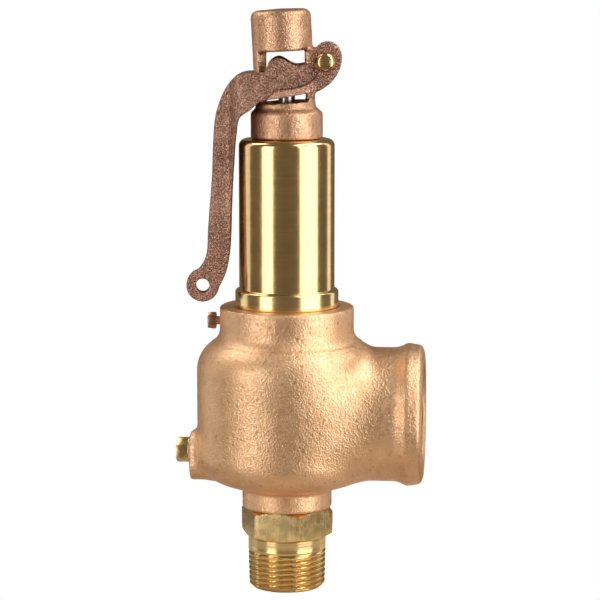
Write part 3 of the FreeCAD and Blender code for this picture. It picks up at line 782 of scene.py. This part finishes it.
class VALVE_OT_nozzle(bpy.types.Operator):
    """Make the brass inlet nozzle, with a helical pipe thread and a chamfered hexagon"""

    bl_idname = "valve.nozzle"
    bl_label = "Inlet nozzle"

    def execute(self, context):
        columns = context.scene.valve.columns
        corner_angle = math.radians(-8.1)
        start_radius, crest_radius, thread_depth = 14.6, 16.25, 1.25
        thread_end, fade_end, fade_length = 17.6, 17.4, 2.2
        shank_radius, groove_radius = 16.75, 16.4
        across_flats, ledge, chamfer_height = 34.9, 0.5, 1.5
        share = np.arange(columns) / columns
        flat = across_flats / 2
        within = (share * 6) % 1.0 - 0.5
        hexagon = flat / np.cos(within * math.pi / 3)
        corner = flat / math.cos(math.pi / 6)
        bore = MOUNTS["inlet_bore"]["dims"]["r_mm"]
        hex_low, hex_high = 22.4, BODY_FOOT
        rows = []

        def row(height, radius):
            rows.append((np.full(columns, height), np.broadcast_to(radius, (columns,))))

        row(0.0, bore + 0.6)
        row(0.0, start_radius)
        for height in np.arange(0.15, thread_end, THREAD_PITCH / 10):
            crest = crest_radius + height / TAPER_RUN
            fade = np.clip((fade_end - height) / fade_length, 0, 1)
            depth = thread_depth * (1 - saw(height / THREAD_PITCH - share)) * fade
            row(height, np.minimum(crest - depth, start_radius + height * 1.1))
        for height in (17.7, 20.0, hex_low - 0.25):
            row(height, shank_radius)
        row(hex_low, groove_radius)
        row(hex_low + 0.02, np.minimum(hexagon, flat - ledge))
        chamfer = corner - flat + ledge
        for step in np.linspace(0, 1, 7):
            radius = np.minimum(hexagon, flat - ledge + step * chamfer)
            row(hex_low + 0.05 + step * chamfer_height, radius)
        for step in np.linspace(1, 0, 7):
            radius = np.minimum(hexagon, flat - ledge + step * chamfer)
            row(hex_high - 0.05 - step * chamfer_height, radius)
        row(hex_high, flat - ledge)
        for height, radius in [
            (hex_high, 14.95), (47.0, 14.95), (47.0, 12.5), (61.0, 12.5), (63.0, 10.5),
            (64.0, 10.5), (64.0, 8.0), (52.0, 8.0), (30.0, bore), (0.6, bore),
        ]:
            row(height, radius)
        heights = np.array([heights for heights, _ in rows])
        radii = np.array([radii for _, radii in rows])
        nozzle = ring_grid("nozzle_turning", radii, heights, corner_angle)
        low, high = hex_low * MM, hex_high * MM
        for polygon in nozzle.data.polygons:
            upright = polygon.normal.z ** 2 < 0.02
            polygon.material_index = int(low < polygon.center.z < high and upright)
        finishes = [material("machined_brass"), material("drawn_brass")]
        finish_piece(nozzle, "housing", "machined_brass", finishes, "inlet_nozzle")
        return {"FINISHED"}


# ---------------------------------------------------------------- bonnet


class VALVE_OT_bonnet(bpy.types.Operator):
    """Make the polished spring housing as one fine turning"""

    bl_idname = "valve.bonnet"
    bl_label = "Bonnet"

    def execute(self, context):
        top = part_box("bonnet")[1].z / MM
        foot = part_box("bonnet")[0].z / MM
        flange_top = 129.6
        bonnet = turned("bonnet_turning", [
            (8.05, 185.0), (8.05, top), (12.0, top, 0.6), (12.0, 193.5), (20.3, 193.5, 3.0),
            (20.3, 129.9, 0.35), (20.75, 129.5, 0.3), (22.0, 129.5, 1.2), (22.0, 121.8, 0.6),
            (21.4, 121.8), (21.4, foot), (16.5, foot), (16.5, 185.0, 2.0),
        ], context.scene.valve.columns)
        for polygon in bonnet.data.polygons:
            polygon.material_index = int(polygon.center.z < flange_top * MM)
        finishes = [material("polished_brass"), material("machined_brass")]
        finish_piece(bonnet, "housing", "polished_brass", finishes, "bonnet")
        return {"FINISHED"}


# ---------------------------------------------------------------- cap and lever castings


class VALVE_OT_cap(bpy.types.Operator):
    """Make the cast cap that carries the lever's pivot"""

    bl_idname = "valve.cap"
    bl_label = "Lever cap"

    def execute(self, context):
        cap = remesh(copy_of("cap", "cap_casting"), voxel=0.5)
        relax(cap.data, passes=7)
        cast_skin(cap.data, [(6.0, 0.04), (1.8, 0.03)])
        finish_piece(cap, "housing", "cast_bronze", [material("cap_bronze")], "cap")
        return {"FINISHED"}


def slope_ribs(mesh):
    """Let the fork's lower ribs stand out further along their lower edges, and mark their faces for a painted
    highlight.
    """
    web_face, rib_face, lean = 11.3, 13.3, 0.2
    edge_height, edge_rise, edge_shift, rib_depth = 214.4, 0.31, 4.5, 5
    back_end, back_fade, front_end, front_fade = 12, 6, 12.5, 4
    highlight_depth = 1.5
    spots = coordinates(mesh)
    turn = math.radians(CAP_TURN)
    x = spots[:, 0] * math.cos(turn) + spots[:, 1] * math.sin(turn)
    y = spots[:, 1] * math.cos(turn) - spots[:, 0] * math.sin(turn)
    below = np.clip(edge_height + edge_rise * (x + edge_shift) - spots[:, 2], 0, rib_depth)
    along = np.clip((x + back_end) / back_fade, 0, 1) * np.clip((front_end - x) / front_fade, 0, 1)
    share = np.clip((np.abs(y) - web_face) / (rib_face - web_face), 0, 1)
    # Painted highlight: marks the ribs' outer faces, fading in just under the line where the ribs begin
    rubbed = mesh.attributes.new("rubbed", "FLOAT", "POINT")
    rubbed.data.foreach_set("value", np.clip(below / highlight_depth, 0, 1) * along * share)
    push = lean * below * along * share * np.sign(y)
    spots[:, 0] -= push * math.sin(turn)
    spots[:, 1] += push * math.cos(turn)
    set_coordinates(mesh, spots)


class VALVE_OT_lever(bpy.types.Operator):
    """Make the cast lifting lever"""

    bl_idname = "valve.lever"
    bl_label = "Lifting lever"

    def execute(self, context):
        handle_top, top_fade, handle_foot, foot_fade = 206, 8, 142, 6
        lever = remesh(copy_of("lever", "lever_casting"), voxel=0.32)
        height = coordinates(lever.data)[:, 2]
        handle = np.clip((handle_top - height) / top_fade, 0, 1)
        handle = handle * np.clip((height - handle_foot) / foot_fade, 0, 1)
        relax(lever.data, passes=90, weight=handle * 0.5)
        slope_ribs(lever.data)
        relax(lever.data, passes=9)
        cast_skin(lever.data, [(6.0, 0.10), (1.6, 0.05)])
        finish_piece(lever, "lever", "lever_bronze", [material("lever_bronze")], "lever")
        return {"FINISHED"}


# ---------------------------------------------------------------- screws and small parts


class VALVE_OT_fasteners(bpy.types.Operator):
    """Make the screws, nuts and washers that show, with softened edges"""

    bl_idname = "valve.fasteners"
    bl_label = "Screws and nuts"

    def execute(self, context):
        for node, width, finish in [
            ("ring_screw", 0.22, "worked_brass"),
            ("ring_screw_washer", 0.12, "worked_brass"),
            ("bonnet_lock_screw", 0.15, "aged_brass"),
            ("pivot_washer", 0.12, "worked_brass"),
            ("pivot_nut", 0.15, "worked_brass"),
            ("cap_set_screw", 0.1, "worked_brass"),
        ]:
            piece = softened(node, node + "_soft", width)
            finish_piece(piece, "housing", "machined_brass", [material(finish)], node)
        head_start, shank_end = 13.4, 17.9
        screw = turned("pivot_screw_turning", [
            (0, -shank_end), (2.1, -shank_end, 0.3), (2.5, -shank_end + 0.6), (2.5, head_start - 0.3),
            (2.5, head_start), (4.1, head_start, 0.2), (4.1, head_start + 0.7, 0.4),
            (3.3, head_start + 2.3, 1.6), (1.2, head_start + 2.85, 4.0), (0, head_start + 2.9)], 96)
        place(place(screw, (90, "X")), (CAP_TURN, "Z"), PIVOT)
        finish_piece(screw, "housing", "polished_brass", [material("polished_brass")], "pivot_screw")
        return {"FINISHED"}


class VALVE_OT_inner_parts(bpy.types.Operator):
    """Give the turned inner parts their finishes"""

    bl_idname = "valve.inner_parts"
    bl_label = "Inner parts"

    def execute(self, context):
        finishes = {
            "stainless_steel": ["stem", "disc", "stem_pin"],
            "machined_brass": ["regulator_ring", "guide_plate", "disc_holder", "lower_spring_step",
                               "upper_spring_step", "compression_screw", "compression_locknut",
                               "lift_nut", "lift_locknut"],
        }
        for finish, names in finishes.items():
            for name in names:
                NODES[name].material_slots[0].material = material(finish)
                shade(NODES[name])
        return {"FINISHED"}


class VALVE_OT_spring(bpy.types.Operator):
    """Make the spring as a copy of the CAD spring with its own mesh; how much the stem's lift would shorten it is
    worked out but not applied
    """

    bl_idname = "valve.spring"
    bl_label = "Spring"

    def execute(self, context):
        coil = copy_of("spring", "spring_coil")
        finish_piece(coil, "housing", "spring_steel", [material("spring_steel")], "spring")
        fixed_end = LIFT_JOINT["deforming_nodes"][0]["fixed_end_z_m"]
        share = LIFT_JOINT["range_m"][1] / (fixed_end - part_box("spring")[0].z)
        1 - share
        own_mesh(coil)
        return {"FINISHED"}


# ---------------------------------------------------------------- stage


# Studio lights: name, azimuth in degrees, height, distance, width and height of the panel
# in metres, and how bright the panel looks
SOFTBOXES = (
    ("left_box", -41.5, 0.22, 0.9, 0.44, 1.1, 2.5),
    ("right_box", 60.0, 0.22, 0.9, 0.78, 1.1, 2.5),
    ("left_rim", -106.0, 0.22, 0.9, 0.42, 1.1, 0.9),
    ("right_rim", 127.0, 0.22, 0.9, 0.25, 1.1, 1.1),
    ("left_top", -112.0, 0.95, 0.62, 0.6, 0.5, 3.2),
    ("right_top", 100.0, 0.95, 0.55, 0.7, 0.6, 3.2),
    ("front_top", 45.0, 0.95, 0.62, 0.25, 0.4, 3.4),
)
LIGHT_AIM_HEIGHT = 0.12
ROOM_COLOUR = (0.17, 0.14, 0.105, 1)
FLOOR_RADIUS, FLOOR_DEPTH = 115, 3
CAMERA_TURN, CAMERA_TILT = math.radians(5.0), math.radians(8.2)
CAMERA_REACH, CAMERA_LENS = 1.056, 148.5
AIM_ASIDE, AIM_HEIGHT = 0.0056, 0.1245


def softbox(name, azimuth, height, distance, width, tall, glow):
    """Rectangular studio light that faces the valve."""
    light = bpy.data.lights.new(name, "AREA")
    light.shape = "RECTANGLE"
    light.size, light.size_y = width, tall
    light.energy = glow * math.pi * width * tall
    lamp = bpy.data.objects.new(name, light)
    angle = math.radians(azimuth)
    lamp.location = (math.sin(angle) * distance, -math.cos(angle) * distance, height)
    aim = Vector((0, 0, LIGHT_AIM_HEIGHT)) - Vector(lamp.location)
    lamp.rotation_euler = aim.to_track_quat("-Z", "Y").to_euler()
    bpy.context.scene.collection.objects.link(lamp)


def stage_floor():
    """Floor that looks near white itself but throws little light up under the valve."""
    shader = Shader("pale_floor")
    camera_ray = shader.add("ShaderNodeLightPath")
    values = {"Base Color": (0.60, 0.54, 0.47), "Roughness": 0.8}
    dim = shader.add("ShaderNodeBsdfPrincipled", None, values)
    values = {"Base Color": (0.9, 0.9, 0.9), "Roughness": 0.8,
              "Emission Color": (1.0, 1.0, 1.0), "Emission Strength": 0.62}
    pale = shader.add("ShaderNodeBsdfPrincipled", None, values)
    return shader.end(shader.add("ShaderNodeMixShader", None, {0: camera_ray, 1: dim, 2: pale}))


class VALVE_OT_stage(bpy.types.Operator):
    """Set the floor, studio light and camera"""

    bl_idname = "valve.stage"
    bl_label = "Stage, lights and camera"

    def execute(self, context):
        scene = context.scene
        section = [(0, -FLOOR_DEPTH), (FLOOR_RADIUS, -FLOOR_DEPTH), (FLOOR_RADIUS, 0), (0, 0)]
        floor = turned("floor", section, 96)
        floor.data.materials.append(stage_floor())
        world = bpy.data.worlds.new("studio")
        scene.world = world
        world.use_nodes = True
        tree = world.node_tree
        tree.nodes.clear()
        path = tree.nodes.new("ShaderNodeLightPath")
        room = tree.nodes.new("ShaderNodeBackground")
        room.inputs["Color"].default_value = ROOM_COLOUR
        seen = tree.nodes.new("ShaderNodeBackground")
        seen.inputs["Color"].default_value = (1, 1, 1, 1)
        pick = tree.nodes.new("ShaderNodeMixShader")
        end = tree.nodes.new("ShaderNodeOutputWorld")
        tree.links.new(path.outputs["Is Camera Ray"], pick.inputs[0])
        tree.links.new(room.outputs[0], pick.inputs[1])
        tree.links.new(seen.outputs[0], pick.inputs[2])
        tree.links.new(pick.outputs[0], end.inputs[0])
        for panel in SOFTBOXES:
            softbox(*panel)
        scene.view_settings.view_transform = "Standard"
        turn, tilt = CAMERA_TURN, CAMERA_TILT
        aim = Vector((AIM_ASIDE * math.cos(turn), AIM_ASIDE * math.sin(turn), AIM_HEIGHT))
        level = math.cos(tilt)
        back = Vector((math.sin(turn) * level, -math.cos(turn) * level, math.sin(tilt)))
        camera = bpy.data.objects.new("camera", bpy.data.cameras.new("camera"))
        camera.data.lens = CAMERA_LENS
        camera.location = aim + back * CAMERA_REACH
        camera.rotation_euler = (-back).to_track_quat("-Z", "Y").to_euler()
        scene.collection.objects.link(camera)
        scene.camera = camera
        return {"FINISHED"}


# ---------------------------------------------------------------- panel and run

STEPS = (
    VALVE_OT_stage, VALVE_OT_body, VALVE_OT_nozzle, VALVE_OT_bonnet, VALVE_OT_cap, VALVE_OT_lever,
    VALVE_OT_fasteners, VALVE_OT_inner_parts, VALVE_OT_spring,
)


class VALVE_PT_panel(bpy.types.Panel):
    """Lists the valve's steps and settings"""

    bl_label = "Relief valve"
    bl_space_type = "VIEW_3D"
    bl_region_type = "UI"
    bl_category = "Valve"

    def draw(self, context):
        for step in STEPS:
            self.layout.operator(step.bl_idname)
        for name in ValveSettings.__annotations__:
            self.layout.prop(context.scene.valve, name)


CLASSES = (ValveSettings, *STEPS, VALVE_PT_panel)


def register():
    for item in CLASSES:
        bpy.utils.register_class(item)
    bpy.types.Scene.valve = PointerProperty(type=ValveSettings)


def unregister():
    del bpy.types.Scene.valve
    for item in reversed(CLASSES):
        bpy.utils.unregister_class(item)


def main():
    register()
    for step in STEPS:
        group, name = step.bl_idname.split(".")
        getattr(getattr(bpy.ops, group), name)()


if __name__ == "__main__":
    main()
